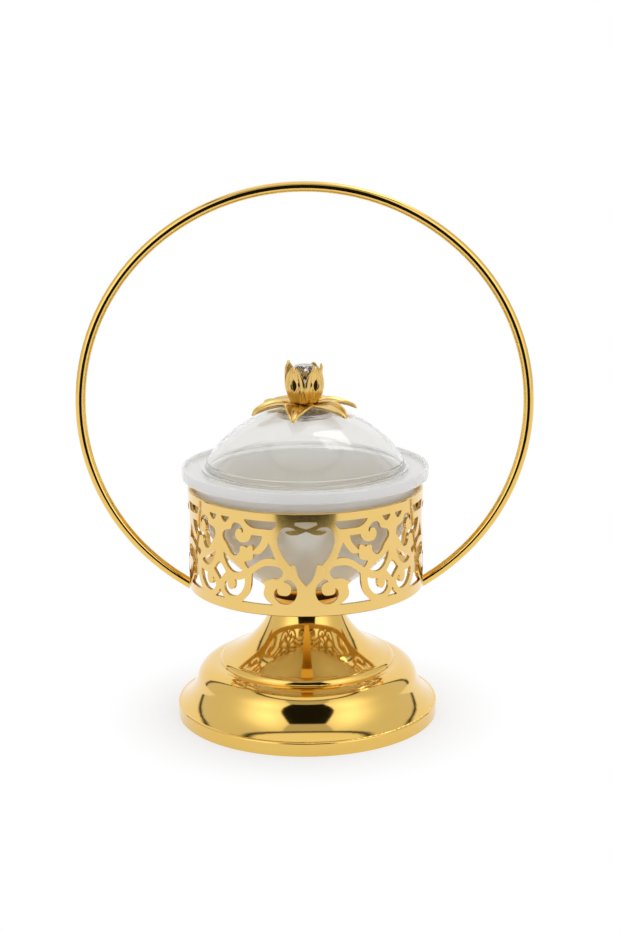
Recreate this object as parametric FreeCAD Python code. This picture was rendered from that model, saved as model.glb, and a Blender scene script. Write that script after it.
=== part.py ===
import FreeCAD, Part
import math
import os

from FreeCAD import Vector

# Covered candy bowl on a gilt stand, in millimetres, +Z up.
# The origin is on the table under the middle of the foot, and a heart of the band faces the front, -Y.

# Fits and gaps
braze_gap = 0.1
seat_gap = 0.2
thread_gap = 0.1
hole_clearance = 0.2
cut_overrun = 2.0

# Foot, a spun shell: a rim, a hollow flare, a round shoulder and a bead under a trumpet neck
foot_height = 62.0
foot_radius = 64.4
foot_wall = 0.9
foot_hem_width = 3.6
rim_height = 6.0
rim_edge_width = 1.3
rim_edge_rise = 0.8
flare_width = 8.5
flare_rise = 12.0
wall_lean = 14.0
shoulder_width = 9.0
shoulder_rise = 7.8
bead_step = 2.4
bead_step_rise = 0.3
bead_width = 2.9
bead_rise = 3.3
neck_radius = 17.7
neck_top_radius = 20.0
neck_collar = 6.0

# Screw, washer and nut that clamp the foot, the strap and the seat cup
stem_screw_radius = 2.5
stem_head_radius = 4.6
stem_head_height = 2.2
stem_washer_radius = 6.0
stem_washer_thickness = 1.0
stem_nut_flats = 8.0
stem_nut_height = 4.0
stem_tail = 1.5

# Strap under the band, and the cup that the bowl stands in
strap_width = 9.0
strap_thickness = 1.2
strap_flat_margin = 2.0
strap_joggle = 5.5
strap_tab_height = 4.0
strap_lift = 0.4
cup_depth = 4.1
cup_floor_radius = 14.0
cup_wall = 1.0
cup_rim_width = 1.2

# Pierced band
band_radius = 57.4
band_wall = 1.6
band_height = 49.2
band_lift = 4.0
band_edge_chamfer = 0.4
band_repeats = 4

# Hoop handle, a round rod bent to a slightly flat ring
rod_diameter = 5.0
hoop_half_width = 108.15
hoop_half_height = 104.8
hoop_end_drop = 0.3

# Bowl
bowl_band_gap = 1.8
bowl_rim_gap = 4.8
bowl_rim_overhang = 6.0
bowl_rim_height = 5.5
bowl_rim_fillet = 1.2
bowl_lip_wall = 1.8
bowl_lip_round = 0.6
bowl_ledge_drop = 1.8
bowl_wall = 6.0
bowl_base_radius = 21.0
bowl_floor = 3.0
bowl_floor_inset = 1.0

# Lid dome
lid_flange_bearing = 2.4
lid_flange_width = 2.4
lid_flange_thickness = 1.4
lid_skirt_depth = 1.5
lid_skirt_gap = 0.6
dome_foot_rise = 2.8
dome_foot_fillet = 0.9
dome_rise = 26.1
dome_wall = 1.8

# Finial on the lid
finial_screw_radius = 1.5
finial_head_radius = 3.5
finial_head_height = 2.0
finial_screw_grip = 5.0
lid_washer_radius = 13.0
lid_washer_edge = 2.0
hub_radius = 6.0
hub_height = 2.0
leaf_count = 6
leaf_turn = 18.0
leaf_length = 28.4
leaf_width = 11.0
leaf_thickness = 1.3
leaf_root_radius = 4.0
leaf_root_drop = 0.2
leaf_crest_rise = 2.8
leaf_tip_drop = 3.7
petal_count = 6
petal_turn = 30.0
petal_height = 21.3
petal_radius = 9.3
petal_wall = 1.1
petal_notch_height = 7.0
crystal_gap = 0.3
crystal_girdle = 0.6
crystal_crown = 2.2
crystal_sides = 16

# Radii and levels where one piece meets the next
band_inner_radius = band_radius - band_wall
band_bottom = foot_height + band_lift
band_top = band_bottom + band_height
cup_radius = bowl_base_radius
cup_bottom = foot_height + strap_thickness
cup_top = cup_bottom + cup_depth
bowl_body_radius = band_inner_radius - bowl_band_gap
bowl_rim_radius = bowl_body_radius + bowl_rim_overhang
bowl_mouth_radius = bowl_body_radius - bowl_wall
bowl_bottom = cup_top + seat_gap
rim_bottom = band_top + bowl_rim_gap
lip_top = rim_bottom + bowl_rim_height
ledge_height = lip_top - bowl_ledge_drop
flange_bottom = ledge_height + seat_gap
flange_top = flange_bottom + lid_flange_thickness
lid_flange_radius = bowl_mouth_radius + lid_flange_bearing
dome_base_radius = lid_flange_radius - lid_flange_width
dome_base = flange_top + dome_foot_rise
dome_radius = (dome_base_radius ** 2 + dome_rise ** 2) / (2 * dome_rise)
dome_centre = dome_base + dome_rise - dome_radius
hub_top = dome_base + dome_rise + hub_height

up = Vector(0, 0, 1)


def at(radius, height):
    return Vector(radius, 0, height)


def between(start, end, shares):
    across, along = shares
    return at(start.x + (end.x - start.x) * across, start.z + (end.z - start.z) * along)


def line(start, end):
    return Part.LineSegment(start, end).toShape()


def bulge(start, end, middle_shares):
    return Part.Arc(start, between(start, end, middle_shares), end).toShape()


def sweep(start, lean, end):
    outward = at(math.cos(math.radians(lean)), math.sin(math.radians(lean)))
    chord = end - start
    radius = chord.dot(chord) / (2 * chord.dot(outward))
    centre = start + outward * radius
    middle = (start + end) * 0.5 - centre
    middle.normalize()
    return Part.Arc(start, centre + middle * abs(radius), end).toShape()


def curve(points):
    spline = Part.BSplineCurve()
    spline.interpolate(points)
    return spline.toShape()


def polyline(points):
    return [line(first, second) for first, second in zip(points, points[1:])]


def face_of(edges):
    return Part.Face(Part.Wire(Part.__sortEdges__(edges)))


def turned(edges):
    return face_of(edges).revolve(Vector(), up, 360)


def upright(radius, bottom, top):
    return Part.makeCylinder(radius, top - bottom, at(0, bottom), up)


def ring(outer, inner, bottom, top):
    return upright(outer, bottom, top).cut(upright(inner, bottom - cut_overrun, top + cut_overrun))


def round_about(shape, angle):
    copy = shape.copy()
    copy.rotate(Vector(), up, angle)
    return copy


# Foot: the outer skin from the neck to the table, and the same skin moved in and down by the wall.
trumpet_shares = ((0.022, 0.105), (0.13, 0.35), (0.335, 0.595), (0.615, 0.82))
bead_crest_shares = (0.29, 0.70)
bead_step_shares = (0.55, 0.10)
rim_edge_shares = (0.29, 0.72)


def foot_shell():
    neck_top = at(neck_top_radius, foot_height)
    waist = at(neck_radius, foot_height - neck_collar)
    rim_top = at(foot_radius, rim_height)
    flare_foot = at(rim_top.x - rim_edge_width, rim_top.z + rim_edge_rise)
    wall_middle = at(flare_foot.x - flare_width, flare_foot.z + flare_rise)
    shoulder_top = at(wall_middle.x - shoulder_width, wall_middle.z + shoulder_rise)
    bead_foot = at(shoulder_top.x - bead_step, shoulder_top.z + bead_step_rise)
    bead_top = at(bead_foot.x - bead_width, bead_foot.z + bead_rise)
    trumpet = [between(waist, bead_top, shares) for shares in trumpet_shares]
    skin = [
        curve([neck_top, waist] + trumpet + [bead_top]),
        bulge(bead_foot, bead_top, bead_crest_shares),
        bulge(shoulder_top, bead_foot, bead_step_shares),
        sweep(wall_middle, wall_lean, shoulder_top),
        sweep(wall_middle, wall_lean, flare_foot),
        bulge(rim_top, flare_foot, rim_edge_shares),
    ]
    inward = Vector(-foot_wall, 0, -foot_wall)
    hole = stem_screw_radius + hole_clearance
    rim = polyline([
        rim_top,
        at(foot_radius, 0),
        at(foot_radius - foot_hem_width, 0),
        at(foot_radius - foot_hem_width, foot_wall),
        at(foot_radius - foot_wall, foot_wall),
        rim_top + inward,
    ])
    plate = polyline([neck_top + inward, at(hole, neck_top.z - foot_wall), at(hole, neck_top.z), neck_top])
    return turned(skin + [edge.translated(inward) for edge in skin] + rim + plate)


# Stem fastener: the head lies in the seat cup, the washer and nut hold up the neck plate from inside.
def stem_screw():
    head_bottom = cup_bottom + cup_wall
    tail = foot_height - foot_wall - stem_washer_thickness - stem_nut_height - stem_tail
    head = upright(stem_head_radius, head_bottom, head_bottom + stem_head_height)
    shank = upright(stem_screw_radius, tail, head_bottom)
    return head.fuse(shank)


def stem_washer():
    top = foot_height - foot_wall
    return ring(stem_washer_radius, stem_screw_radius + hole_clearance, top - stem_washer_thickness, top)


def stem_nut():
    top = foot_height - foot_wall - stem_washer_thickness
    bottom = top - stem_nut_height
    corner = stem_nut_flats / math.sqrt(3)
    corners = [round_about(Part.Vertex(at(corner, bottom)), 60 * turn).Point for turn in range(7)]
    hexagon = face_of(polyline(corners)).extrude(up * stem_nut_height)
    return hexagon.cut(upright(stem_screw_radius + thread_gap, bottom - cut_overrun, top + cut_overrun))


# Seat cup: a shallow dish that the foot of the bowl stands in.
cup_outer_shares = (0.65, 0.32)
cup_inner_shares = (0.35, 0.65)


def seat_cup():
    hole = stem_screw_radius + hole_clearance
    floor_edge = at(cup_floor_radius, cup_bottom)
    rim_outer = at(cup_radius, cup_top)
    rim_inner = at(cup_radius - cup_rim_width, cup_top)
    inner_floor = at(cup_floor_radius - cup_wall / 2, cup_bottom + cup_wall)
    return turned([
        line(at(hole, cup_bottom), floor_edge),
        bulge(floor_edge, rim_outer, cup_outer_shares),
        line(rim_outer, rim_inner),
        bulge(rim_inner, inner_floor, cup_inner_shares),
        line(inner_floor, at(hole, inner_floor.z)),
        line(at(hole, inner_floor.z), at(hole, cup_bottom)),
    ])


# Strap: runs front to back over the neck, steps up and ends in tabs brazed inside the band.
def bottom_strap():
    half_flat = cup_radius + strap_flat_margin
    arm = band_bottom + strap_lift
    reach = band_radius
    tab_inner = band_inner_radius - braze_gap - strap_thickness
    under = [
        at(0, foot_height),
        at(half_flat, foot_height),
        at(half_flat + strap_joggle, arm),
        at(reach, arm),
        at(reach, arm + strap_tab_height),
        at(tab_inner, arm + strap_tab_height),
        at(tab_inner, arm + strap_thickness),
        at(half_flat + strap_joggle, arm + strap_thickness),
        at(half_flat, cup_bottom),
        at(0, cup_bottom),
        at(0, foot_height),
    ]
    half = face_of(polyline(under)).extrude(Vector(0, strap_width, 0))
    half.translate(Vector(0, -strap_width / 2, 0))
    whole = half.fuse(round_about(half, 180)).removeSplitter()
    room = upright(band_inner_radius - braze_gap, foot_height - cut_overrun, arm + strap_tab_height + cut_overrun)
    hole = upright(stem_screw_radius + hole_clearance, foot_height - cut_overrun, cup_bottom + cut_overrun)
    return round_about(whole.common(room).cut(hole), 90)


# Windows of the band. Each run of points goes on from the end of the run before it, and the last run
# ends where the first began. Across is a share of the half repeat, measured from the heart's axis.
# Up is a share of the band's height. Two points make a straight side and more make a curve.
heart_half_shares = (
    ((0.0, 0.299), (0.038, 0.335), (0.076, 0.386), (0.098, 0.447), (0.118, 0.51)),
    ((0.164, 0.498),),
    ((0.20, 0.537), (0.242, 0.589), (0.273, 0.65), (0.293, 0.711), (0.296, 0.762), (0.278, 0.813),
     (0.244, 0.854), (0.20, 0.87), (0.151, 0.866), (0.098, 0.842)),
    ((0.156, 0.835), (0.213, 0.823)),
    ((0.178, 0.801), (0.122, 0.795), (0.067, 0.805), (0.027, 0.821), (0.0, 0.829)),
)
crown_half_shares = (
    ((0.0, 0.852), (0.053, 0.866), (0.122, 0.892)),
    ((0.109, 0.919),),
    ((0.0, 0.923),),
)
diamond_half_shares = (
    ((1.0, 0.278), (0.956, 0.325), (0.909, 0.368)),
    ((0.953, 0.423), (1.0, 0.463)),
)
bottom_triangle_half_shares = (
    ((1.0, 0.193), (0.98, 0.154), (0.953, 0.124), (0.924, 0.104)),
    ((1.0, 0.104),),
)
top_panel_shares = (
    ((0.302, 0.919), (0.664, 0.919)),
    ((0.636, 0.88), (0.589, 0.852), (0.533, 0.839)),
    ((0.362, 0.837),),
    ((0.333, 0.854), (0.309, 0.886), (0.302, 0.919)),
)
top_drop_shares = (
    ((0.851, 0.917), (0.964, 0.917)),
    ((0.947, 0.88), (0.911, 0.86), (0.876, 0.878), (0.851, 0.917)),
)
scroll_shares = (
    ((0.673, 0.791), (0.68, 0.825), (0.711, 0.86), (0.756, 0.874), (0.80, 0.86), (0.82, 0.829), (0.827, 0.807)),
    ((0.878, 0.789), (0.924, 0.77), (0.947, 0.732), (0.94, 0.695), (0.907, 0.661), (0.88, 0.63), (0.851, 0.587),
     (0.809, 0.553), (0.764, 0.553), (0.731, 0.581), (0.716, 0.626)),
    ((0.702, 0.652), (0.671, 0.654), (0.64, 0.642)),
    ((0.613, 0.659), (0.578, 0.671), (0.567, 0.654), (0.562, 0.622)),
    ((0.533, 0.646), (0.493, 0.687), (0.467, 0.732), (0.458, 0.772)),
    ((0.578, 0.774),),
    ((0.596, 0.732), (0.636, 0.699), (0.689, 0.689), (0.74, 0.701), (0.771, 0.738), (0.769, 0.78), (0.742, 0.813),
     (0.709, 0.817), (0.693, 0.799), (0.691, 0.783)),
    ((0.673, 0.791),),
)
spandrel_shares = (
    ((0.387, 0.713), (0.404, 0.683), (0.431, 0.646), (0.471, 0.608), (0.502, 0.591), (0.538, 0.593)),
    ((0.562, 0.581), (0.564, 0.549), (0.591, 0.524), (0.627, 0.514), (0.667, 0.502)),
    ((0.649, 0.467), (0.622, 0.443)),
    ((0.578, 0.472), (0.533, 0.50), (0.489, 0.528), (0.444, 0.549), (0.389, 0.561), (0.316, 0.553)),
    ((0.333, 0.60), (0.36, 0.659), (0.387, 0.713)),
)
leaf_window_shares = (
    ((0.704, 0.104), (0.347, 0.104)),
    ((0.396, 0.138), (0.436, 0.175), (0.449, 0.22), (0.438, 0.264), (0.436, 0.297)),
    ((0.482, 0.327),),
    ((0.444, 0.335), (0.409, 0.343), (0.373, 0.36), (0.32, 0.362)),
    ((0.28, 0.37), (0.251, 0.398), (0.24, 0.433), (0.258, 0.463), (0.311, 0.486), (0.378, 0.49), (0.444, 0.478),
     (0.502, 0.449), (0.553, 0.411), (0.576, 0.394)),
    ((0.582, 0.346), (0.587, 0.285), (0.604, 0.224), (0.64, 0.167), (0.704, 0.104)),
)
crescent_shares = (
    ((0.689, 0.419), (0.756, 0.461), (0.822, 0.496), (0.88, 0.528), (0.938, 0.565)),
    ((0.933, 0.516), (0.902, 0.455), (0.858, 0.409), (0.80, 0.384), (0.738, 0.39), (0.689, 0.419)),
)
curl_shares = (
    ((0.664, 0.341), (0.707, 0.323), (0.756, 0.313), (0.793, 0.311)),
    ((0.787, 0.276), (0.796, 0.236), (0.831, 0.207), (0.869, 0.217), (0.887, 0.248), (0.887, 0.285)),
    ((0.92, 0.27), (0.936, 0.228), (0.92, 0.183), (0.88, 0.152), (0.822, 0.144), (0.764, 0.159), (0.716, 0.193),
     (0.68, 0.244), (0.664, 0.293), (0.664, 0.341)),
)
palmette_shares = (
    ((0.227, 0.335), (0.22, 0.358), (0.187, 0.366), (0.142, 0.343), (0.107, 0.301), (0.093, 0.252), (0.102, 0.199),
     (0.133, 0.15), (0.187, 0.122), (0.244, 0.12), (0.296, 0.142), (0.329, 0.183), (0.333, 0.228), (0.316, 0.264),
     (0.291, 0.272)),
    ((0.302, 0.244), (0.287, 0.217), (0.24, 0.205), (0.191, 0.209), (0.162, 0.236), (0.156, 0.276), (0.169, 0.309),
     (0.196, 0.329), (0.227, 0.335)),
)
heart_axis_share = 0.0
mirror_axis_share = 1.0


def mirrored_runs(runs, axis_share):
    runs_back = []
    points = [runs[0][0]]
    for run in runs:
        run_points = [points[-1]] + [point for point in run if point != points[-1]]
        runs_back.insert(0, [(2 * axis_share - across, height) for across, height in reversed(run_points)])
        points.extend(run_points)
    return list(runs) + runs_back


def window_edges(runs, middle, side):
    half_repeat = math.pi / band_repeats
    edges = []
    last = runs[0][0]
    for run in runs:
        run_shares = [last] + [point for point in run if point != last]
        points = []
        for across, height in run_shares:
            offset = band_radius * math.sin((across - middle) * half_repeat) * side
            points.append(at(offset, band_bottom + height * band_height))
        edges.append(line(*points) if len(points) == 2 else curve(points))
        last = run[-1]
    return edges


def window_cutters(runs, sides, axis_share=None):
    if axis_share is not None:
        runs = mirrored_runs(runs, axis_share)
    across_all = [across for run in runs for across, height in run]
    middle = (min(across_all) + max(across_all)) / 2
    cutters = []
    for side in sides:
        cutter = face_of(window_edges(runs, middle, side)).extrude(Vector(0, -band_radius, 0))
        cutter.translate(Vector(0, -band_radius / 2, 0))
        half_repeat_angle = 180 / band_repeats
        for repeat in range(band_repeats):
            cutters.append(round_about(cutter, (2 * repeat + side * middle) * half_repeat_angle))
    return cutters


def pierced_band():
    strip = turned(polyline([
        at(band_inner_radius, band_bottom),
        at(band_radius - band_edge_chamfer, band_bottom),
        at(band_radius, band_bottom + band_edge_chamfer),
        at(band_radius, band_top - band_edge_chamfer),
        at(band_radius - band_edge_chamfer, band_top),
        at(band_inner_radius, band_top),
        at(band_inner_radius, band_bottom),
    ]))
    cutters = window_cutters(heart_half_shares, (1,), heart_axis_share)
    cutters += window_cutters(crown_half_shares, (1,), heart_axis_share)
    cutters += window_cutters(diamond_half_shares, (1,), mirror_axis_share)
    cutters += window_cutters(bottom_triangle_half_shares, (1,), mirror_axis_share)
    paired = (top_panel_shares, top_drop_shares, scroll_shares, spandrel_shares)
    paired += (leaf_window_shares, crescent_shares, curl_shares, palmette_shares)
    for shares in paired:
        cutters += window_cutters(shares, (1, -1))
    return strip.cut(cutters)


# Hoop: an oval of four tangent arcs, open below, with its ends coped to the wall of the band.
def hoop_handle():
    shift = (hoop_half_width - hoop_half_height) / (2 - math.sqrt(2))
    side_radius = hoop_half_width - shift
    crown_radius = hoop_half_height + shift
    end_reach = band_radius - rod_diameter
    end_turn = math.degrees(math.asin(end_reach / crown_radius))
    low_centre = at(0, band_bottom - hoop_end_drop + math.sqrt(crown_radius ** 2 - band_radius ** 2))
    side_level = low_centre.z - shift
    high_centre = at(0, side_level - shift)

    def on_arc(centre, radius, angle):
        turn = math.radians(angle)
        return centre + Vector(math.cos(turn), 0, math.sin(turn)) * radius

    def arc(centre, radius, first, last):
        middle = (first + last) / 2
        return Part.Arc(*[on_arc(centre, radius, angle) for angle in (first, middle, last)]).toShape()

    path = Part.Wire([
        arc(low_centre, crown_radius, 270 - end_turn, 225),
        arc(at(-shift, side_level), side_radius, 225, 135),
        arc(high_centre, crown_radius, 135, 45),
        arc(at(shift, side_level), side_radius, 45, -45),
        arc(low_centre, crown_radius, -45, end_turn - 90),
    ])
    start = on_arc(low_centre, crown_radius, 270 - end_turn)
    spoke = start - low_centre
    section = Part.Wire(Part.Circle(start, Vector(-spoke.z, 0, spoke.x), rod_diameter / 2).toShape())
    rod = path.makePipeShell([section], True, False)
    return rod.cut(upright(band_radius + braze_gap, 0, band_top))


# Bowl: a round moulding with a broad rim, a raised lip and a ledge inside it for the lid.
bowl_outer_shares = (0.625, 0.309)
bowl_inner_shares = (0.37, 0.58)
mouth_foot_share = 0.54
fillet_shares = (0.71, 0.29)
round_shares = (0.29, 0.71)


def bowl():
    base = at(bowl_base_radius, bowl_bottom)
    shoulder = at(bowl_body_radius, rim_bottom)
    under_rim = at(bowl_rim_radius - bowl_rim_fillet, rim_bottom)
    rim_low = at(bowl_rim_radius, rim_bottom + bowl_rim_fillet)
    rim_high = at(bowl_rim_radius, lip_top - bowl_lip_round)
    lip_outer = at(bowl_rim_radius - bowl_lip_round, lip_top)
    lip_inner = at(bowl_rim_radius - bowl_lip_wall, lip_top)
    mouth = at(bowl_mouth_radius, ledge_height)
    floor_edge = at(bowl_base_radius - bowl_floor_inset, bowl_bottom + bowl_floor)
    mouth_foot = at(mouth.x, floor_edge.z + (mouth.z - floor_edge.z) * mouth_foot_share)
    return turned([
        line(at(0, bowl_bottom), base),
        bulge(base, shoulder, bowl_outer_shares),
        line(shoulder, under_rim),
        bulge(under_rim, rim_low, fillet_shares),
        line(rim_low, rim_high),
        bulge(rim_high, lip_outer, round_shares),
        line(lip_outer, lip_inner),
        line(lip_inner, at(lip_inner.x, ledge_height)),
        line(at(lip_inner.x, ledge_height), mouth),
        line(mouth, mouth_foot),
        bulge(mouth_foot, floor_edge, bowl_inner_shares),
        line(floor_edge, at(0, floor_edge.z)),
        line(at(0, floor_edge.z), at(0, bowl_bottom)),
    ])


# Lid: a clear dome with a flange on the ledge and a short skirt inside the mouth.
def on_dome(offset, radius):
    return at(radius, dome_centre + math.sqrt((dome_radius + offset) ** 2 - radius ** 2))


def dome_arc(offset, first_radius, last_radius):
    stops = (first_radius, (first_radius + last_radius) / 2, last_radius)
    return Part.Arc(*[on_dome(offset, radius) for radius in stops]).toShape()


def lid_dome():
    hole = finial_screw_radius + hole_clearance
    inner_radius = dome_base_radius - dome_wall
    skirt_radius = bowl_mouth_radius - lid_skirt_gap
    skirt_bottom = flange_bottom - lid_skirt_depth
    fillet_out = at(dome_base_radius + dome_foot_fillet, flange_top)
    fillet_up = at(dome_base_radius, flange_top + dome_foot_fillet)
    return turned([
        dome_arc(0, hole, dome_base_radius),
        line(on_dome(0, dome_base_radius), fillet_up),
        bulge(fillet_up, fillet_out, round_shares),
        dome_arc(-dome_wall, hole, inner_radius),
        line(on_dome(0, hole), on_dome(-dome_wall, hole)),
    ] + polyline([
        fillet_out,
        at(lid_flange_radius, flange_top),
        at(lid_flange_radius, flange_bottom),
        at(skirt_radius, flange_bottom),
        at(skirt_radius, skirt_bottom),
        at(inner_radius, skirt_bottom),
        on_dome(-dome_wall, inner_radius),
    ]))


# Finial fixing: a clear saucer washer under the crown of the dome, and a screw through it.
def washer_bottom():
    return on_dome(-dome_wall - braze_gap, lid_washer_radius).z - lid_washer_edge


def lid_washer():
    offset = -dome_wall - braze_gap
    hole = finial_screw_radius + hole_clearance
    return turned([dome_arc(offset, hole, lid_washer_radius)] + polyline([
        on_dome(offset, lid_washer_radius),
        at(lid_washer_radius, washer_bottom()),
        at(hole, washer_bottom()),
        on_dome(offset, hole),
    ]))


def finial_screw():
    head_top = washer_bottom()
    head = upright(finial_head_radius, head_top - finial_head_height, head_top)
    return head.fuse(upright(finial_screw_radius, head_top, hub_top + finial_screw_grip))


# Leaf collar: six arched leaves on a hub that sits on the crown of the dome.
leaf_crest_share = 0.40
leaf_belly_share = 0.47


def leaf_collar():
    hole = finial_screw_radius + hole_clearance
    hub = turned([dome_arc(braze_gap, hole, hub_radius)] + polyline([
        on_dome(braze_gap, hub_radius),
        at(hub_radius, hub_top),
        at(hole, hub_top),
        on_dome(braze_gap, hole),
    ]))
    root = at(leaf_root_radius, hub_top - leaf_root_drop)
    tip = at(leaf_length, hub_top - leaf_tip_drop)
    crest = at(root.x + (tip.x - root.x) * leaf_crest_share, hub_top + leaf_crest_rise)
    top_edge = Part.Arc(root, crest, tip).toShape()
    down = Vector(0, 0, -leaf_thickness)
    arch = turned([top_edge, top_edge.translated(down), line(root, root + down), line(tip, tip + down)])
    belly = leaf_length * leaf_belly_share
    low = hub_top - leaf_tip_drop - leaf_thickness - cut_overrun
    tall = leaf_tip_drop + leaf_thickness + leaf_crest_rise + 2 * cut_overrun
    heart_point = Vector(0, 0, low)
    leaf_point = Vector(leaf_length, 0, low)
    outline = []
    for side in (leaf_width / 2, -leaf_width / 2):
        outline.append(Part.Arc(heart_point, Vector(belly, side, low), leaf_point).toShape())
    leaf = face_of(outline).extrude(up * tall)
    leaves = [round_about(leaf, leaf_turn + 360 / leaf_count * turn) for turn in range(leaf_count)]
    bored = upright(hole, low - cut_overrun, low + tall + cut_overrun)
    return arch.common(leaves[0].fuse(leaves[1:])).fuse(hub).cut(bored).removeSplitter()


# Petal cup: a tulip of six pointed petals, with a solid foot that takes the screw.
petal_outer_shares = ((0.42, 0.0), (0.80, 0.16), (0.97, 0.38), (1.0, 0.55), (0.97, 0.78), (0.90, 1.0))
petal_inner_shares = ((0.98, 0.42), (1.0, 0.55), (0.97, 0.78), (0.90, 1.0))
petal_edge_shares = (0.30, 0.60)
petal_notch_start_share = 0.5


def petal_cup():
    outer = [at(petal_radius * across, hub_top + petal_height * along) for across, along in petal_outer_shares]
    inner = [
        at(petal_radius * across - petal_wall, hub_top + petal_height * along)
        for across, along in petal_inner_shares
    ]
    cup = turned([curve(outer), line(outer[-1], inner[-1]), curve(inner)] + polyline([
        inner[0],
        at(0, inner[0].z),
        at(0, hub_top),
        outer[0],
    ]))
    low = at(0, hub_top + petal_notch_height)
    half_gap = petal_radius * math.tan(math.pi / petal_count)
    high = hub_top + petal_height
    sides = [bulge(low, at(side * half_gap, high), petal_edge_shares) for side in (1, -1)]
    above = high + cut_overrun
    cap = polyline([at(half_gap, high), at(half_gap, above), at(-half_gap, above), at(-half_gap, high)])
    notch = face_of(sides + cap).extrude(Vector(0, petal_radius, 0))
    notch.translate(Vector(0, petal_radius * petal_notch_start_share, 0))
    notches = [round_about(notch, petal_turn - 90 + 360 / petal_count * turn) for turn in range(petal_count)]
    bore_top = hub_top + finial_screw_grip + thread_gap
    bore = upright(finial_screw_radius + thread_gap, hub_top - cut_overrun, bore_top)
    return cup.cut(notches + [bore])


# Crystal: a round faceted stone glued into the tulip, point down.
girdle_shares = (0.97, 0.78)
table_share = 0.55
culet_share = 0.12


def crystal():
    across, along = girdle_shares
    girdle_radius = petal_radius * across - petal_wall - crystal_gap
    girdle_top = hub_top + petal_height * along
    culet = hub_top + petal_height * petal_inner_shares[0][1] + seat_gap
    levels = (
        (girdle_radius * culet_share, culet),
        (girdle_radius, girdle_top - crystal_girdle),
        (girdle_radius, girdle_top),
        (girdle_radius * table_share, girdle_top + crystal_crown),
    )
    step = 360 / crystal_sides
    wires = []
    for radius, height in levels:
        corner = Part.Vertex(at(radius, height))
        corners = [round_about(corner, step * turn).Point for turn in range(crystal_sides)]
        wires.append(Part.Wire(polyline(corners + corners[:1])))
    return Part.makeLoft(wires, True, True)


makers = (
    foot_shell, stem_screw, stem_washer, stem_nut, seat_cup, bottom_strap, pierced_band, hoop_handle, bowl,
    lid_dome, lid_washer, finial_screw, leaf_collar, petal_cup, crystal,
)
os.makedirs("parts", exist_ok=True)
for maker in makers:
    solid = maker()
    box = solid.BoundBox
    print(maker.__name__, "valid", solid.isValid(), "solids", len(solid.Solids), "volume", round(solid.Volume, 1),
          "box", [round(side, 2) for side in (box.XMin, box.XMax, box.YMin, box.YMax, box.ZMin, box.ZMax)])
    solid.exportStep("parts/" + maker.__name__ + ".step")
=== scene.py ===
import math

import bpy
from mathutils import Matrix


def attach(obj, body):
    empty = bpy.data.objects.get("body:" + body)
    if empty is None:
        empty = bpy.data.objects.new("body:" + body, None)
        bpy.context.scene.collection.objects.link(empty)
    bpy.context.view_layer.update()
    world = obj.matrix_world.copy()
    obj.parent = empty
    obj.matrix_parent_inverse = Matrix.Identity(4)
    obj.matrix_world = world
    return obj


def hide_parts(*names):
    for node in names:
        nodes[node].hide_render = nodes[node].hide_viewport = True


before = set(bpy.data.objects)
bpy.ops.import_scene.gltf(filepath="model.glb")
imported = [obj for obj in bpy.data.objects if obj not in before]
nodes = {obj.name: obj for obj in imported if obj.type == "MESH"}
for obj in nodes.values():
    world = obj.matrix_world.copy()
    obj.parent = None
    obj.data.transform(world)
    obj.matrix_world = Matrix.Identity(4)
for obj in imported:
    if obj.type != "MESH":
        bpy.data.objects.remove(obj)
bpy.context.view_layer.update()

# Foot: one piece of brass sheet spun over a form, with its edge turned in, then gold-plated and buffed.
# It shows long soft reflections, a little haze from buffing and very fine turning marks round its axis.


def new_material(name):
    material = bpy.data.materials.new(name)
    material.use_nodes = True
    tree = material.node_tree
    return material, tree, tree.nodes["Principled BSDF"]


def add_node(tree, kind, **settings):
    node = tree.nodes.new(kind)
    for key, value in settings.items():
        if key in node.inputs:
            node.inputs[key].default_value = value
        else:
            setattr(node, key, value)
    return node


def dress(node_name, material):
    mesh = nodes[node_name].data
    mesh.materials.clear()
    mesh.materials.append(material)


def gilt_group():
    group = bpy.data.node_groups.new("gilt_marks", "ShaderNodeTree")
    face = group.interface
    face.new_socket("Vector", in_out="INPUT", socket_type="NodeSocketVector")
    for name in ("Bright", "Deep"):
        face.new_socket(name, in_out="INPUT", socket_type="NodeSocketColor")
    for name in ("Cloud Scale", "Haze Scale", "Roughness Low", "Roughness High"):
        face.new_socket(name, in_out="INPUT", socket_type="NodeSocketFloat")
    face.new_socket("Colour", in_out="OUTPUT", socket_type="NodeSocketColor")
    face.new_socket("Roughness", in_out="OUTPUT", socket_type="NodeSocketFloat")
    face.new_socket("Height", in_out="OUTPUT", socket_type="NodeSocketFloat")
    source = group.nodes.new("NodeGroupInput")
    target = group.nodes.new("NodeGroupOutput")
    link = group.links.new
    cloud = add_node(group, "ShaderNodeTexNoise", Detail=3.0, Roughness=0.55)
    haze = add_node(group, "ShaderNodeTexNoise", Detail=5.0, Roughness=0.7)
    tint = add_node(group, "ShaderNodeMix", data_type="RGBA")
    spread = add_node(group, "ShaderNodeMapRange")
    for texture, scale in ((cloud, "Cloud Scale"), (haze, "Haze Scale")):
        link(source.outputs["Vector"], texture.inputs["Vector"])
        link(source.outputs[scale], texture.inputs["Scale"])
    link(cloud.outputs["Fac"], tint.inputs["Factor"])
    link(source.outputs["Bright"], tint.inputs["A"])
    link(source.outputs["Deep"], tint.inputs["B"])
    link(haze.outputs["Fac"], spread.inputs["Value"])
    link(source.outputs["Roughness Low"], spread.inputs["To Min"])
    link(source.outputs["Roughness High"], spread.inputs["To Max"])
    link(tint.outputs["Result"], target.inputs["Colour"])
    link(spread.outputs["Result"], target.inputs["Roughness"])
    link(haze.outputs["Fac"], target.inputs["Height"])
    return group


gilt_marks = gilt_group()


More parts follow.
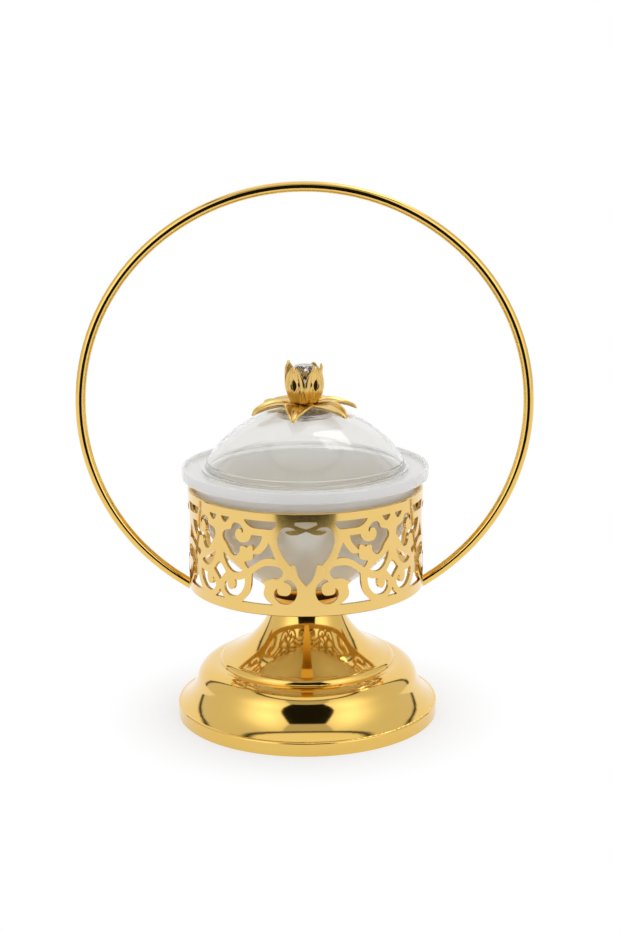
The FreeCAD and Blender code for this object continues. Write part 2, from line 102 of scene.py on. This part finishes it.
def gilt_material(name, bright, deep, roughness, cloud_scale, haze_scale, stretch, bump):
    material, tree, shader = new_material(name)
    shader.inputs["Metallic"].default_value = 1.0
    shader.inputs["Coat Weight"].default_value = 0.6
    shader.inputs["Coat Roughness"].default_value = 0.05
    place = add_node(tree, "ShaderNodeTexCoord")
    mapping = add_node(tree, "ShaderNodeMapping", Scale=stretch)
    marks = add_node(tree, "ShaderNodeGroup", node_tree=gilt_marks)
    marks.inputs["Bright"].default_value = (*bright, 1)
    marks.inputs["Deep"].default_value = (*deep, 1)
    marks.inputs["Cloud Scale"].default_value = cloud_scale
    marks.inputs["Haze Scale"].default_value = haze_scale
    marks.inputs["Roughness Low"].default_value = roughness[0]
    marks.inputs["Roughness High"].default_value = roughness[1]
    lift = add_node(tree, "ShaderNodeBump", Strength=bump, Distance=0.0001)
    link = tree.links.new
    link(place.outputs["Object"], mapping.inputs["Vector"])
    link(mapping.outputs["Vector"], marks.inputs["Vector"])
    link(marks.outputs["Colour"], shader.inputs["Base Color"])
    link(marks.outputs["Roughness"], shader.inputs["Roughness"])
    link(marks.outputs["Height"], lift.inputs["Height"])
    link(lift.outputs["Normal"], shader.inputs["Normal"])
    return material


gilt_bright = (0.87, 0.58, 0.145)
gilt_deep = (0.82, 0.51, 0.10)
even = (1.0, 1.0, 1.0)
turned = (1.0, 1.0, 6.0)
gilt_polished = gilt_material(
    "gilt_polished", bright=gilt_bright, deep=gilt_deep, roughness=(0.05, 0.11),
    cloud_scale=30.0, haze_scale=400.0, stretch=turned, bump=0.01)
dress("foot_shell", gilt_polished)

# Stem fastener: a pan-head screw, a washer and a hexagon nut of zinc-plated steel.
# They clamp the foot, the strap and the seat cup together and are hidden in use.


def cloud_colour(tree, shader, scale, detail, low, high):
    place = add_node(tree, "ShaderNodeTexCoord")
    cloud = add_node(tree, "ShaderNodeTexNoise", Scale=scale, Detail=detail)
    colour = add_node(tree, "ShaderNodeMix", data_type="RGBA")
    colour.inputs["A"].default_value = (*low, 1)
    colour.inputs["B"].default_value = (*high, 1)
    tree.links.new(place.outputs["Object"], cloud.inputs["Vector"])
    tree.links.new(cloud.outputs["Fac"], colour.inputs["Factor"])
    tree.links.new(colour.outputs["Result"], shader.inputs["Base Color"])
    return cloud


def cloud_gloss(tree, shader, cloud, low, high):
    gloss = add_node(tree, "ShaderNodeMapRange")
    gloss.inputs["To Min"].default_value = low
    gloss.inputs["To Max"].default_value = high
    tree.links.new(cloud.outputs["Fac"], gloss.inputs["Value"])
    tree.links.new(gloss.outputs["Result"], shader.inputs["Roughness"])


steel, steel_tree, steel_shader = new_material("zinc_steel")
steel_shader.inputs["Metallic"].default_value = 1.0
steel_grain = cloud_colour(
    steel_tree, steel_shader, scale=600.0, detail=4.0, low=(0.42, 0.43, 0.45), high=(0.62, 0.62, 0.61))
cloud_gloss(steel_tree, steel_shader, steel_grain, low=0.25, high=0.45)
for name in ("stem_screw", "stem_washer", "stem_nut"):
    dress(name, steel)

# Strap and seat cup: brass strip bent to a joggle and a pressed dish, plated but left unbuffed.
# The strap is brazed inside the band's lower edge, and the cup is clamped on it by the stem screw.
gilt_pressed = gilt_material(
    "gilt_pressed", bright=gilt_bright, deep=gilt_deep, roughness=(0.30, 0.42),
    cloud_scale=40.0, haze_scale=700.0, stretch=even, bump=0.06)
dress("bottom_strap", gilt_pressed)
dress("seat_cup", gilt_pressed)

# Pierced band: a brass strip cut out in scrolls and hearts, rolled to a ring and plated.
# It is buffed on the outside alone, and the hoop is brazed to its two sides.
band_inner_radius = 0.0558
band_wall = 0.0016
band_unbuffed = 0.45
buffed_from_share = 0.25
buffed_to_share = 0.5
gilt_satin = gilt_material(
    "gilt_satin", bright=(0.86, 0.60, 0.20), deep=(0.82, 0.54, 0.15), roughness=(0.09, 0.17),
    cloud_scale=40.0, haze_scale=700.0, stretch=even, bump=0.06)
band_tree = gilt_satin.node_tree
band_rough = band_tree.nodes["Principled BSDF"].inputs["Roughness"]
band_place = add_node(band_tree, "ShaderNodeTexCoord")
band_level = add_node(band_tree, "ShaderNodeVectorMath", operation="MULTIPLY")
band_level.inputs[1].default_value = (1, 1, 0)
band_distance = add_node(band_tree, "ShaderNodeVectorMath", operation="LENGTH")
band_inside = add_node(band_tree, "ShaderNodeMapRange")
band_inside.inputs["From Min"].default_value = band_inner_radius + buffed_from_share * band_wall
band_inside.inputs["From Max"].default_value = band_inner_radius + buffed_to_share * band_wall
band_inside.inputs["To Min"].default_value = band_unbuffed
band_inside.inputs["To Max"].default_value = 0.0
band_worn = add_node(band_tree, "ShaderNodeMath", operation="MAXIMUM")
band_tree.links.new(band_place.outputs["Object"], band_level.inputs[0])
band_tree.links.new(band_level.outputs["Vector"], band_distance.inputs[0])
band_tree.links.new(band_distance.outputs["Value"], band_inside.inputs["Value"])
band_tree.links.new(band_rough.links[0].from_socket, band_worn.inputs[0])
band_tree.links.new(band_inside.outputs["Result"], band_worn.inputs[1])
band_tree.links.new(band_worn.outputs[0], band_rough)
dress("pierced_band", gilt_satin)

# Hoop handle: one round brass rod bent to a nearly circular ring, buffed and plated.
# Its two ends are coped to the band and brazed.
dress("hoop_handle", gilt_polished)

# Bowl: moulded in milky acrylic, with a broad rim, a raised lip and a ledge for the lid.
# It stands loose in the seat cup, and its rim clears the top of the band.
rim_low = 0.112
rim_high = 0.119
milky, milky_tree, milky_shader = new_material("milky_acrylic")
milky_shader.inputs["Transmission Weight"].default_value = 0.15
milky_shader.inputs["Subsurface Weight"].default_value = 1.0
milky_shader.inputs["Subsurface Radius"].default_value = (1.0, 0.95, 0.85)
milky_shader.inputs["Subsurface Scale"].default_value = 0.008
milky_shader.inputs["IOR"].default_value = 1.49
milky_place = add_node(milky_tree, "ShaderNodeTexCoord")
milky_cloud = add_node(milky_tree, "ShaderNodeTexNoise", Scale=45.0, Detail=3.0)
milky_split = add_node(milky_tree, "ShaderNodeSeparateXYZ")
# Below the rim the bowl is coloured a warmer beige: painted shade and a painted gold reflection from the
# band round it. The rim above keeps a paler near-white.
milky_shade_fade = add_node(milky_tree, "ShaderNodeMapRange")
milky_shade_fade.inputs["From Min"].default_value = rim_low
milky_shade_fade.inputs["From Max"].default_value = rim_high
milky_painted_shade = add_node(milky_tree, "ShaderNodeMix", data_type="RGBA")
milky_painted_shade.inputs["A"].default_value = (0.985, 0.925, 0.83, 1)
milky_painted_shade.inputs["B"].default_value = (0.985, 0.975, 0.95, 1)
milky_colour = add_node(milky_tree, "ShaderNodeMix", data_type="RGBA", blend_type="MULTIPLY")
milky_colour.inputs["B"].default_value = (0.97, 0.97, 0.96, 1)
milky_tree.links.new(milky_place.outputs["Object"], milky_cloud.inputs["Vector"])
milky_tree.links.new(milky_place.outputs["Object"], milky_split.inputs[0])
milky_tree.links.new(milky_split.outputs["Z"], milky_shade_fade.inputs["Value"])
milky_tree.links.new(milky_shade_fade.outputs["Result"], milky_painted_shade.inputs["Factor"])
milky_tree.links.new(milky_painted_shade.outputs["Result"], milky_colour.inputs["A"])
milky_tree.links.new(milky_cloud.outputs["Fac"], milky_colour.inputs["Factor"])
milky_tree.links.new(milky_colour.outputs["Result"], milky_shader.inputs["Base Color"])
cloud_gloss(milky_tree, milky_shader, milky_cloud, low=0.10, high=0.17)
dress("bowl", milky)

# Lid: a clear acrylic dome with a flange that lies on the ledge and a short skirt in the mouth.
# A clear saucer washer lies under its crown and spreads the pull of the finial screw.
clear, clear_tree, clear_shader = new_material("clear_acrylic")
clear_shader.inputs["Transmission Weight"].default_value = 0.88
clear_shader.inputs["IOR"].default_value = 1.49
clear_cloud = cloud_colour(
    clear_tree, clear_shader, scale=60.0, detail=2.0, low=(0.99, 0.99, 0.985), high=(0.98, 0.98, 0.975))
cloud_gloss(clear_tree, clear_shader, clear_cloud, low=0.0, high=0.03)
clear_path = add_node(clear_tree, "ShaderNodeLightPath")
clear_lit = add_node(clear_tree, "ShaderNodeMath", operation="MAXIMUM")
clear_open = add_node(clear_tree, "ShaderNodeBsdfTransparent", Color=(0.92, 0.92, 0.91, 1))
clear_mix = add_node(clear_tree, "ShaderNodeMixShader")
clear_tree.links.new(clear_path.outputs["Is Shadow Ray"], clear_lit.inputs[0])
clear_tree.links.new(clear_path.outputs["Is Diffuse Ray"], clear_lit.inputs[1])
clear_tree.links.new(clear_lit.outputs[0], clear_mix.inputs[0])
clear_tree.links.new(clear_shader.outputs[0], clear_mix.inputs[1])
clear_tree.links.new(clear_open.outputs[0], clear_mix.inputs[2])
clear_tree.links.new(clear_mix.outputs[0], clear_tree.nodes["Material Output"].inputs["Surface"])
dress("lid_dome", clear)
dress("lid_washer", clear)

# Finial screw: a small steel machine screw with a flat head, plated to a pale satin.
# It comes up through the washer, the dome and the leaves, and holds the tulip down.
pale_nickel = gilt_material(
    "pale_nickel", bright=(0.80, 0.79, 0.76), deep=(0.72, 0.71, 0.68), roughness=(0.35, 0.50),
    cloud_scale=90.0, haze_scale=800.0, stretch=even, bump=0.1)
dress("finial_screw", pale_nickel)

# Leaf collar: six trough-shaped leaves round a hub, cast in brass and plated in antique gold.
# Each leaf has thick raised edges and a vein, and the dark patina is rubbed off all but the hollows.
leaf_count = 6
leaf_turn = math.radians(18)
leaf_root = 0.0040
leaf_reach = 0.0267
leaf_half_width = 0.0072
leaf_base_height = 0.1548
leaf_crest_rise = 0.0006
leaf_tip_drop = 0.0033
leaf_thickness = 0.0010
leaf_root_share = 0.62
leaf_tip_share = 0.02
leaf_widest_at = 0.35
leaf_bend_at = 0.4
leaf_taper_power = 0.6
leaf_droop_power = 1.8
leaf_relief_from = 0.15
leaf_relief_to = 0.86
trough_depth = 0.0011
trough_power = 1.8
trough_end_share = 0.4
edge_height = 0.00045
edge_at = 0.86
edge_width = 0.13
vein_height = 0.00035
vein_width = 0.09
furrow_depth = 0.00022
furrow_at = 0.50
furrow_width = 0.10
furrow_stain = 0.55
furrow_stain_width = 0.09
root_stain = 0.9
root_stain_from = 0.02
root_stain_to = 0.10


def antique_gilt(name, bright, deep_share, roughness):
    material, tree, shader = new_material(name)
    shader.inputs["Metallic"].default_value = 1.0
    place = add_node(tree, "ShaderNodeTexCoord")
    marks = add_node(tree, "ShaderNodeGroup", node_tree=gilt_marks)
    marks.inputs["Bright"].default_value = (*bright, 1)
    marks.inputs["Deep"].default_value = (*(deep_share * level for level in bright), 1)
    marks.inputs["Cloud Scale"].default_value = 180.0
    marks.inputs["Haze Scale"].default_value = 900.0
    marks.inputs["Roughness Low"].default_value = roughness[0]
    marks.inputs["Roughness High"].default_value = roughness[1]
    patina = add_node(tree, "ShaderNodeAttribute", attribute_name="patina")
    stain = add_node(tree, "ShaderNodeMix", data_type="RGBA")
    stain.inputs["B"].default_value = (0.030, 0.018, 0.008, 1)
    dull = add_node(tree, "ShaderNodeMix")
    dull.inputs[3].default_value = 0.55
    lift = add_node(tree, "ShaderNodeBump", Strength=0.12, Distance=0.0001)
    link = tree.links.new
    link(place.outputs["Object"], marks.inputs["Vector"])
    link(patina.outputs["Fac"], stain.inputs["Factor"])
    link(marks.outputs["Colour"], stain.inputs["A"])
    link(stain.outputs["Result"], shader.inputs["Base Color"])
    link(patina.outputs["Fac"], dull.inputs[0])
    link(marks.outputs["Roughness"], dull.inputs[2])
    link(dull.outputs[0], shader.inputs["Roughness"])
    link(marks.outputs["Height"], lift.inputs["Height"])
    link(lift.outputs["Normal"], shader.inputs["Normal"])
    return material


def smooth(value, start, end):
    share = min(max((value - start) / (end - start), 0.0), 1.0)
    return share * share * (3 - 2 * share)


def hump(value, centre, width):
    return math.exp(-((value - centre) / width) ** 2)


def shaped_grid(name, across_steps, along_steps, place, wall):
    bpy.ops.object.select_all(action="DESELECT")
    bpy.ops.mesh.primitive_grid_add(x_subdivisions=across_steps, y_subdivisions=along_steps, size=2.0)
    piece = bpy.context.object
    piece.name = name
    patina = piece.data.attributes.new("patina", "FLOAT", "POINT")
    for vertex in piece.data.vertices:
        across, along = vertex.co.x, (vertex.co.y + 1) / 2
        vertex.co, patina.data[vertex.index].value = place(across, along)
    bpy.ops.object.mode_set(mode="EDIT")
    bpy.ops.mesh.select_all(action="SELECT")
    bpy.ops.mesh.normals_make_consistent(inside=False)
    bpy.ops.object.mode_set(mode="OBJECT")
    thick = piece.modifiers.new("wall", "SOLIDIFY")
    thick.thickness = wall
    thick.offset = 0.0
    thick.use_even_offset = True
    bpy.ops.object.modifier_apply(modifier=thick.name)
    round_off = piece.modifiers.new("round_edges", "SUBSURF")
    round_off.levels = 1
    round_off.render_levels = 1
    bpy.ops.object.modifier_apply(modifier=round_off.name)
    bpy.ops.object.shade_smooth()
    return piece


def turned_copy(first, angle):
    copy = first.copy()
    copy.data = first.data.copy()
    copy.data.transform(Matrix.Rotation(angle, 4, "Z"))
    bpy.context.collection.objects.link(copy)
    return copy


def join_pieces(name, pieces):
    bpy.ops.object.select_all(action="DESELECT")
    for piece in pieces:
        piece.select_set(True)
    bpy.context.view_layer.objects.active = pieces[0]
    bpy.ops.object.join()
    pieces[0].name = name
    return pieces[0]


def leaf_place(across, along):
    past_bend = max(0.0, (along - leaf_bend_at) / (1 - leaf_bend_at))
    widen = leaf_root_share + (1 - leaf_root_share) * smooth(along, 0.0, leaf_widest_at)
    narrow = (1 - past_bend) ** leaf_taper_power
    half = leaf_half_width * widen * max(narrow, leaf_tip_share)
    distance = leaf_root + (leaf_reach - leaf_root) * along
    if along < leaf_bend_at:
        height = leaf_crest_rise * math.sin(math.pi / 2 * along / leaf_bend_at)
    else:
        height = leaf_crest_rise - (leaf_crest_rise + leaf_tip_drop) * past_bend ** leaf_droop_power
    side = abs(across)
    fade = smooth(along, 0.0, leaf_relief_from) * (1 - smooth(along, leaf_relief_to, 1.0))
    trough = trough_depth * side ** trough_power * (trough_end_share + (1 - trough_end_share) * fade)
    edge = edge_height * hump(side, edge_at, edge_width) * fade
    vein = vein_height * hump(across, 0.0, vein_width) * fade
    furrow = furrow_depth * hump(side, furrow_at, furrow_width) * fade
    level = leaf_base_height + height + trough + edge + vein - furrow
    sideways = half * across
    turn_cos, turn_sin = math.cos(leaf_turn), math.sin(leaf_turn)
    spot = (distance * turn_cos - sideways * turn_sin, distance * turn_sin + sideways * turn_cos, level)
    stain = furrow_stain * hump(side, furrow_at, furrow_stain_width) * fade
    stain += root_stain * (1 - smooth(along, root_stain_from, root_stain_to))
    return spot, min(stain, 1.0)


cast_gilt = antique_gilt("cast_gilt", bright=(0.85, 0.58, 0.19), deep_share=0.86, roughness=(0.16, 0.27))
leaf = shaped_grid("leaf", across_steps=28, along_steps=36, place=leaf_place, wall=leaf_thickness)
leaf_copies = [turned_copy(leaf, math.tau * number / leaf_count) for number in range(1, leaf_count)]
leaves = join_pieces("cast_leaves", [leaf] + leaf_copies)
hub_radius = 0.0060
hub_low, hub_high = 0.1542, 0.1568
hub_edge_width = 0.0004
round_sides = 64
bpy.ops.object.select_all(action="DESELECT")
bpy.ops.mesh.primitive_cylinder_add(
    vertices=round_sides, radius=hub_radius, depth=hub_high - hub_low,
    location=(0, 0, (hub_low + hub_high) / 2))
hub = bpy.context.object
bpy.ops.object.transform_apply(location=True)
hub_edge = hub.modifiers.new("edge", "BEVEL")
hub_edge.width = hub_edge_width
hub_edge.segments = 3
bpy.ops.object.modifier_apply(modifier=hub_edge.name)
bpy.ops.object.shade_smooth_by_angle(angle=math.radians(40))
leaves = join_pieces("cast_leaves", [leaves, hub])
leaves.data.materials.clear()
leaves.data.materials.append(cast_gilt)
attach(leaves, "lid")
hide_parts("leaf_collar")

# Tulip: five pointed petals cast in one piece with their floor, and plated like the leaves.
# Each petal has ridges that meet at its base and tip, and a dark almond-shaped hollow in its middle.
petal_places = ((236, 0.94, 1.0), (308, 0.94, 1.0), (352, 0.96, 0.93), (59, 0.93, 1.0), (152, 1.0, 0.97))
petal_half_angle = math.radians(37.5)
petal_base = 0.1553
petal_height = 0.0206
petal_base_radius = 0.0052
petal_belly_radius = 0.0088
petal_tip_radius = 0.0086
petal_flatness = 0.0007
petal_wall = 0.0010
almond_middle = 0.53
almond_half_height = 0.165
almond_half_width = 0.0017
almond_depth = 0.0007
almond_floor_share = 0.75
almond_edge_share = 1.1
almond_far_off = 9.0
lip_height = 0.00022
lip_share = 1.3
lip_width = 0.25
petal_belly_at = 0.55
petal_tip_power = 1.6
petal_taper_from = 0.38
petal_taper_power = 2.8
petal_tip_share = 0.02
petal_relief_from = 0.10
petal_relief_to = 0.85
ridge_height = 0.00009
ridge_half_waves = 5
line_stain = 0.30
line_at = 0.6
line_width = 0.04
foot_stain = 0.95
foot_stain_from = 0.045
foot_stain_to = 0.105


def petal_place(across, along):
    if along < petal_belly_at:
        swell = math.sin(math.pi / 2 * along / petal_belly_at)
        radius = petal_base_radius + (petal_belly_radius - petal_base_radius) * swell
    else:
        draw_in = ((along - petal_belly_at) / (1 - petal_belly_at)) ** petal_tip_power
        radius = petal_belly_radius + (petal_tip_radius - petal_belly_radius) * draw_in
    past_taper = max(0.0, (along - petal_taper_from) / (1 - petal_taper_from))
    narrow = 1 - past_taper ** petal_taper_power
    angle = petal_half_angle * max(narrow, petal_tip_share) * across
    side = abs(across)
    fade = smooth(along, 0.0, petal_relief_from) * (1 - smooth(along, petal_relief_to, 1.0))
    rounding = petal_flatness * side ** 2
    ridge = ridge_height * math.cos(ridge_half_waves * math.pi * side) * fade
    lens = 1 - ((along - almond_middle) / almond_half_height) ** 2
    reach = abs(radius * angle) / (almond_half_width * lens) if lens > 0.01 else almond_far_off
    hollow = 1 - smooth(reach, almond_floor_share, almond_edge_share)
    lip = lip_height * hump(reach, lip_share, lip_width)
    radius += rounding + ridge + lip - almond_depth * hollow
    spot = (radius * math.cos(angle), radius * math.sin(angle), petal_base + petal_height * along)
    line = line_stain * hump(side, line_at, line_width) * fade
    foot = foot_stain * (1 - smooth(along, foot_stain_from, foot_stain_to))
    return spot, min(max(hollow, line, foot), 1.0)


petal = shaped_grid("petal", across_steps=40, along_steps=52, place=petal_place, wall=petal_wall)
to_base = Matrix.Translation((0, 0, petal_base))
petals = []
for turn, tall_share, wide_share in petal_places:
    copy = turned_copy(petal, math.radians(turn))
    stretch = Matrix.Diagonal((wide_share, wide_share, tall_share, 1))
    copy.data.transform(to_base @ stretch @ to_base.inverted())
    petals.append(copy)
bpy.data.objects.remove(petal)
petal_floor_depth = 0.0022
petal_floor_stain = 0.9
bpy.ops.object.select_all(action="DESELECT")
bpy.ops.mesh.primitive_cylinder_add(
    vertices=round_sides, radius=petal_base_radius, depth=petal_floor_depth,
    location=(0, 0, petal_base + petal_floor_depth / 2))
petal_floor = bpy.context.object
bpy.ops.object.transform_apply(location=True)
for item in petal_floor.data.attributes.new("patina", "FLOAT", "POINT").data:
    item.value = petal_floor_stain
tulip = join_pieces("cast_tulip", petals + [petal_floor])
tulip.data.materials.clear()
tulip.data.materials.append(cast_gilt)
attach(tulip, "lid")
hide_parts("petal_cup")

# Crystal: a round glass stone with a tall faceted crown and a silvered back, glued into the tulip.
# The crown is clear, and the low back is foiled like a rhinestone.
stone_sides = 8
foil_tilt = -0.1
stone_rings = (
    (0.0042, 0.1744, 0.5), (0.0056, 0.1731, 0.0), (0.0064, 0.1709, 0.5), (0.0069, 0.1680, 0.0),
    (0.0071, 0.1656, 0.5), (0.0071, 0.1656, 0.0), (0.0060, 0.1643, 0.5), (0.0030, 0.1632, 0.0))
bpy.ops.object.select_all(action="DESELECT")
bpy.ops.mesh.primitive_circle_add(vertices=stone_sides, radius=stone_rings[0][0], location=(0, 0, 0))
stone = bpy.context.object
stone.name = "cut_stone"
bpy.ops.object.mode_set(mode="EDIT")
bpy.ops.mesh.select_all(action="SELECT")
bpy.ops.mesh.delete(type="VERT")
for radius, height, turn in stone_rings:
    bpy.ops.mesh.primitive_circle_add(
        vertices=stone_sides, radius=radius, location=(0, 0, height),
        rotation=(0, 0, math.tau * turn / stone_sides))
bpy.ops.mesh.select_all(action="SELECT")
bpy.ops.mesh.convex_hull()
bpy.ops.mesh.normals_make_consistent(inside=False)
bpy.ops.object.mode_set(mode="OBJECT")
bpy.ops.object.shade_flat()


def stone_material(name, low, high, roughness):
    material, tree, shader = new_material(name)
    shader.inputs["Roughness"].default_value = roughness
    cloud_colour(tree, shader, scale=300.0, detail=2.0, low=low, high=high)
    return material, shader


stone_clear, stone_clear_shader = stone_material(
    "cut_glass", low=(0.97, 0.97, 0.97), high=(0.99, 0.99, 1.0), roughness=0.0)
stone_clear_shader.inputs["Transmission Weight"].default_value = 1.0
stone_clear_shader.inputs["IOR"].default_value = 1.55
stone_foil, stone_foil_shader = stone_material(
    "stone_foil", low=(0.84, 0.83, 0.82), high=(0.93, 0.92, 0.90), roughness=0.18)
stone_foil_shader.inputs["Metallic"].default_value = 1.0
stone.data.materials.append(stone_clear)
stone.data.materials.append(stone_foil)
for face in stone.data.polygons:
    face.material_index = 1 if face.normal.z < foil_tilt else 0
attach(stone, "lid")
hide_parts("crystal")

# Floor: a sheet of white paper under the object, which ends a little way in front of it.
# Away from the object it is plain white, and near the foot it keeps a part of the soft shadow.
floor_half = 1.4
floor_front = 0.42
shadow_near = 0.060
shadow_far = 0.105
near_white_share = 0.62
bpy.ops.object.select_all(action="DESELECT")
bpy.ops.mesh.primitive_plane_add(size=1.0)
floor = bpy.context.object
floor.name = "paper_floor"
floor_place = Matrix.Translation((0, floor_half - floor_front, 0))
floor.data.transform(floor_place @ Matrix.Diagonal((2 * floor_half, 2 * floor_half, 1, 1)))
paper, paper_tree, paper_shader = new_material("white_paper")
paper_shader.inputs["Base Color"].default_value = (0.93, 0.93, 0.93, 1)
paper_shader.inputs["Roughness"].default_value = 0.7
paper_shader.inputs["Specular IOR Level"].default_value = 0.0
paper_link = paper_tree.links.new
paper_glow = add_node(paper_tree, "ShaderNodeEmission", Strength=1.0)
paper_path = add_node(paper_tree, "ShaderNodeLightPath")
paper_seen = add_node(paper_tree, "ShaderNodeMath", operation="MAXIMUM")
paper_shown = add_node(paper_tree, "ShaderNodeMath", operation="MAXIMUM")
paper_place = add_node(paper_tree, "ShaderNodeTexCoord")
paper_length = add_node(paper_tree, "ShaderNodeVectorMath", operation="LENGTH")
paper_fade = add_node(paper_tree, "ShaderNodeMapRange")
paper_fade.interpolation_type = "SMOOTHSTEP"
paper_fade.inputs["From Min"].default_value = shadow_near
paper_fade.inputs["From Max"].default_value = shadow_far
paper_fade.inputs["To Min"].default_value = near_white_share
paper_share = add_node(paper_tree, "ShaderNodeMath", operation="MULTIPLY")
paper_mix = add_node(paper_tree, "ShaderNodeMixShader")
paper_link(paper_path.outputs["Is Camera Ray"], paper_seen.inputs[0])
paper_link(paper_path.outputs["Is Glossy Ray"], paper_seen.inputs[1])
paper_link(paper_seen.outputs[0], paper_shown.inputs[0])
paper_link(paper_path.outputs["Is Transmission Ray"], paper_shown.inputs[1])
paper_link(paper_place.outputs["Object"], paper_length.inputs[0])
paper_link(paper_length.outputs["Value"], paper_fade.inputs["Value"])
paper_link(paper_fade.outputs["Result"], paper_share.inputs[0])
paper_link(paper_shown.outputs[0], paper_share.inputs[1])
paper_link(paper_share.outputs[0], paper_mix.inputs[0])
paper_link(paper_shader.outputs[0], paper_mix.inputs[1])
paper_link(paper_glow.outputs[0], paper_mix.inputs[2])
paper_link(paper_mix.outputs[0], paper_tree.nodes["Material Output"].inputs["Surface"])
floor.data.materials.append(paper)

# Light tent: white cloth with a dark opening in front for the lens and a dark seam on each side.
# All round the tent, turn is the angle from the front and rise the angle above the table.
# Two lamps behind the cloth, left and right of the lens, make a bright patch each.
opening_half_angle = math.radians(29)
opening_taper = 0.22
opening_low = math.radians(-60)
opening_high = math.radians(41)
opening_dark = 0.02
flap_spread = 0.8
flap_level = 0.55
seam_angle = math.radians(127)
seam_half_width = math.radians(4.2)
seam_high = math.radians(62)
seam_dark = 0.03
cloth_level = 0.76
patch_level = 0.85
patch_turn = math.radians(43)
patch_rise = math.radians(22)
patch_turn_width = math.radians(24)
patch_rise_width = math.radians(30)
edge_softness = math.radians(1.2)
tent = bpy.data.worlds.new("light_tent")
tent.use_nodes = True
bpy.context.scene.world = tent
tent_tree = tent.node_tree
tent_link = tent_tree.links.new


def tent_math(operation, *values):
    node = add_node(tent_tree, "ShaderNodeMath", operation=operation)
    for socket, value in zip(node.inputs, values):
        if isinstance(value, (int, float)):
            socket.default_value = value
        else:
            tent_link(value, socket)
    return node.outputs[0]


def tent_edge(value, middle, half_width):
    node = add_node(tent_tree, "ShaderNodeMapRange")
    node.interpolation_type = "SMOOTHSTEP"
    node.inputs["From Min"].default_value = middle - half_width
    node.inputs["From Max"].default_value = middle + half_width
    tent_link(value, node.inputs["Value"])
    return node.outputs["Result"]


def tent_bell(value, middle, width):
    offset = tent_math("DIVIDE", tent_math("SUBTRACT", value, middle), width)
    return tent_math("EXPONENT", tent_math("MULTIPLY", tent_math("MULTIPLY", offset, offset), -1.0))


def tent_mix(share, first, second):
    return tent_math("ADD", first, tent_math("MULTIPLY", share, tent_math("SUBTRACT", second, first)))


tent_place = add_node(tent_tree, "ShaderNodeTexCoord")
tent_split = add_node(tent_tree, "ShaderNodeSeparateXYZ")
tent_link(tent_place.outputs["Generated"], tent_split.inputs[0])
tent_x, tent_y, tent_z = tent_split.outputs
turn = tent_math("ABSOLUTE", tent_math("ARCTAN2", tent_x, tent_math("MULTIPLY", tent_y, -1.0)))
rise = tent_math("ARCSINE", tent_z)
patch_across = tent_bell(turn, patch_turn, patch_turn_width)
patch_upward = tent_bell(rise, patch_rise, patch_rise_width)
patch = tent_math("MULTIPLY", patch_across, patch_upward)
cloth = tent_math("ADD", cloth_level, tent_math("MULTIPLY", patch, patch_level))
above = tent_math("MAXIMUM", tent_math("SUBTRACT", rise, opening_high), 0.0)
risen = tent_math("MINIMUM", tent_math("MAXIMUM", rise, 0.0), opening_high)
flap_edge = tent_math("SUBTRACT", turn, tent_math("MULTIPLY", above, flap_spread))
flap_edge = tent_math("ADD", flap_edge, tent_math("MULTIPLY", risen, opening_taper))
beside = tent_edge(flap_edge, opening_half_angle, edge_softness)
front_level = tent_mix(beside, flap_level, cloth)
higher = tent_edge(rise, opening_high, edge_softness)
lower = tent_math("SUBTRACT", 1.0, tent_edge(rise, opening_low, edge_softness))
closed = tent_math("MINIMUM", tent_math("ADD", tent_math("ADD", beside, higher), lower), 1.0)
back_turn = tent_edge(turn, seam_angle, seam_half_width)
back_rise = tent_edge(rise, seam_high, seam_half_width)
back_cloth = tent_math("MAXIMUM", back_turn, back_rise)
front_cloth = tent_math("SUBTRACT", 1.0, back_cloth)
seam = tent_math("MULTIPLY", tent_math("MULTIPLY", back_cloth, front_cloth), 4.0)
tent_level = tent_mix(back_cloth, front_level, 1.0)
tent_light = tent_math("MULTIPLY", tent_level, tent_mix(closed, opening_dark, 1.0))
tent_light = tent_math("MULTIPLY", tent_light, tent_mix(seam, 1.0, seam_dark))
tent_path = add_node(tent_tree, "ShaderNodeLightPath")
seen, seen_through = tent_path.outputs["Is Camera Ray"], tent_path.outputs["Is Transmission Ray"]
plain = tent_math("MAXIMUM", seen, seen_through)
tent_back = tent_tree.nodes["Background"]
tent_back.inputs["Color"].default_value = (1, 1, 1, 1)
tent_link(tent_mix(plain, tent_light, 1.0), tent_back.inputs["Strength"])

# Overhead softbox: a square lamp a little to the right, which gives the dome its window of light.
softbox_side = 0.42
softbox_place = (0.36, 0.27, 1.05)
softbox_power = 1.1
bpy.ops.object.light_add(type="AREA", location=softbox_place)
softbox = bpy.context.object
softbox.name = "overhead_softbox"
softbox.data.shape = "SQUARE"
softbox.data.size = softbox_side
softbox.data.energy = softbox_power
softbox.rotation_mode = "QUATERNION"
softbox.rotation_quaternion = softbox.location.to_track_quat("Z", "Y")

# Camera: a short telephoto lens a little higher than the top of the hoop, tipped down and turned by a hair.
camera_lens = 68.33
camera_place = (0.0, -0.8379, 0.3182)
camera_pitch = math.radians(77.0)
camera_roll = math.radians(-0.54)
camera_shift = 0.0057
bpy.ops.object.camera_add(location=camera_place)
camera = bpy.context.object
camera.name = "photo_camera"
camera_turn = Matrix.Rotation(camera_pitch, 4, "X") @ Matrix.Rotation(camera_roll, 4, "Z")
camera.rotation_euler = camera_turn.to_euler()
camera.data.lens = camera_lens
camera.data.sensor_width = 36.0
camera.data.shift_x = camera_shift
bpy.context.scene.camera = camera
bpy.context.scene.view_settings.view_transform = "Standard"
